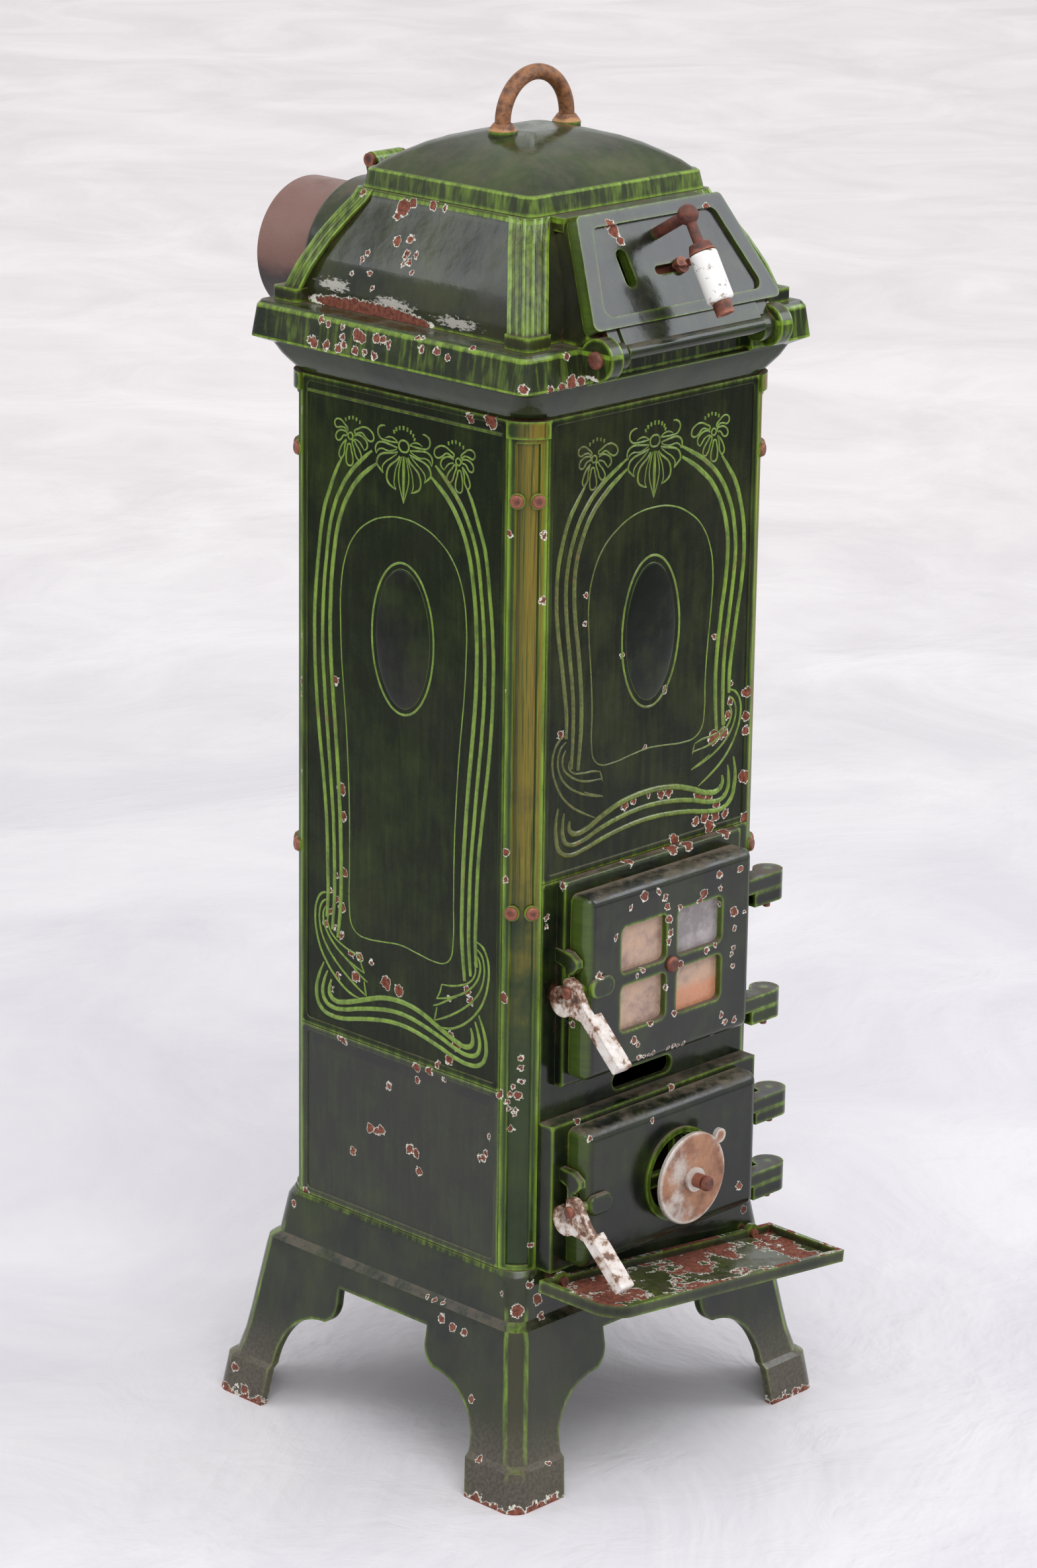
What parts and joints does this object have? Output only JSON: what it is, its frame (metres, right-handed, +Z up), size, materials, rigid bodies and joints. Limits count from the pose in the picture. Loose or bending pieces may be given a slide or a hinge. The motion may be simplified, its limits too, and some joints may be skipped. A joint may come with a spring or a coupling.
{
  "type": "enamelled cast-iron stove",
  "caption": "Tall enamelled cast-iron heating stove on legs, with a filling flap, hinged lid, fire and ash doors with latches, draught disc, ash shelf and rear flue.",
  "frame": {"origin": "on the floor, under the middle of the whole object", "axes": "+Z up, -Y the front with the doors, +X the hinge side of the doors"},
  "size_m": [0.4, 0.532, 1.22],
  "materials": {
    "enamel": "glossy dark green enamel on cast iron, worn at the edges",
    "bare_iron": "bare cast iron, rusted and worn smooth",
    "pale_enamel": "cream enamel, chipped",
    "rusty_steel": "rusted steel",
    "sheet_steel": "rusted sheet steel",
    "firebrick": "fired clay, sooty",
    "mica": "smoked mica",
    "porcelain": "glazed, chipped"
  },
  "bodies": {
    "stove_body": {"base_casting": "enamel", "front_left_column": "enamel", "front_right_column": "enamel", "rear_left_column": "enamel", "rear_right_column": "enamel", "lower_left_panel": "enamel", "lower_right_panel": "enamel", "upper_left_panel": "enamel", "upper_right_panel": "enamel", "back_panel": "enamel", "front_upper_panel": "enamel", "door_frame": "enamel", "cornice": "enamel", "dome": "enamel", "flue_neck": "enamel", "ash_floor": "bare_iron", "grate_plate": "bare_iron", "fire_grate": "bare_iron", "shelf_studs": "bare_iron", "column_screws": "rusty_steel", "tie_rods": "rusty_steel", "tie_rod_nuts": "rusty_steel", "lid_hinge_pins": "rusty_steel", "flap_hinge_bolts": "rusty_steel", "flue_pipe": "sheet_steel", "ash_pan": "sheet_steel", "left_firebrick": "firebrick", "right_firebrick": "firebrick", "back_firebrick": "firebrick"},
    "lid": {"lid": "enamel", "lid_handle": "bare_iron"},
    "filling_flap": {"filling_flap": "enamel"},
    "flap_latch": {"flap_latch": "bare_iron", "flap_latch_grip": "porcelain", "flap_latch_nut": "bare_iron", "flap_tongue": "bare_iron"},
    "air_shutter": {"air_shutter": "bare_iron", "wing_knob": "bare_iron"},
    "upper_door": {"upper_door": "enamel", "mica_panes": "mica", "mica_retainer": "bare_iron", "mica_screw": "rusty_steel", "upper_hinge_pins": "rusty_steel", "upper_latch_rivet": "rusty_steel"},
    "upper_latch": {"upper_latch_lever": "pale_enamel"},
    "lower_door": {"lower_door": "enamel", "lower_hinge_pins": "rusty_steel", "regulator_spindle": "rusty_steel", "lower_latch_rivet": "rusty_steel"},
    "lower_latch": {"lower_latch_lever": "pale_enamel"},
    "regulator_bush": {"regulator_bush": "rusty_steel"},
    "regulator_disc": {"regulator_disc": "bare_iron"},
    "ash_shelf": {"ash_shelf": "enamel"}
  },
  "joints": [
    {"name": "lid_hinge", "type": "hinge", "parent": "stove_body", "child": "lid", "pos_m": [0, 0.111, 1.13], "axis": [-1, 0, 0], "range_deg": [0, 100]},
    {"name": "filling_flap_hinge", "type": "hinge", "parent": "stove_body", "child": "filling_flap", "pos_m": [0, -0.196, 1.009], "axis": [1, 0, 0], "range_deg": [0, 100]},
    {"name": "flap_latch_turn", "type": "hinge", "parent": "filling_flap", "child": "flap_latch", "pos_m": [0, -0.14857, 1.09016], "axis": [0, -0.8634, 0.5045], "range_deg": [-90, 0]},
    {"name": "air_shutter_slide", "type": "slide", "parent": "filling_flap", "child": "air_shutter", "axis": [1, 0, 0], "range_m": [-0.026, 0.0075]},
    {"name": "upper_door_hinge", "type": "hinge", "parent": "stove_body", "child": "upper_door", "pos_m": [0.144, -0.176, 0.44], "axis": [0, 0, 1], "range_deg": [0, 120]},
    {"name": "upper_latch_hinge", "type": "hinge", "parent": "upper_door", "child": "upper_latch", "pos_m": [-0.118, -0.185, 0.459], "axis": [-1, 0, 0], "range_deg": [0, 55]},
    {"name": "lower_door_hinge", "type": "hinge", "parent": "stove_body", "child": "lower_door", "pos_m": [0.1525, -0.179, 0.26], "axis": [0, 0, 1], "range_deg": [0, 120]},
    {"name": "lower_latch_hinge", "type": "hinge", "parent": "lower_door", "child": "lower_latch", "pos_m": [-0.1255, -0.2, 0.264], "axis": [-1, 0, 0], "range_deg": [0, 55]},
    {"name": "regulator_travel", "type": "slide", "parent": "lower_door", "child": "regulator_bush", "axis": [0, -1, 0], "range_m": [-0.0115, 0.002]},
    {"name": "regulator_turn", "type": "hinge", "parent": "regulator_bush", "child": "regulator_disc", "pos_m": [0.005, -0.219, 0.264], "axis": [0, -1, 0], "range_deg": [-1350, 220]},
    {"name": "ash_shelf_slide", "type": "slide", "parent": "stove_body", "child": "ash_shelf", "axis": [0, -1, 0], "range_m": [0, 0.06]}
  ],
  "couplings": [
    {"joint": "regulator_travel", "follows": "regulator_turn", "m_per_rad": 0.00047746}
  ]
}
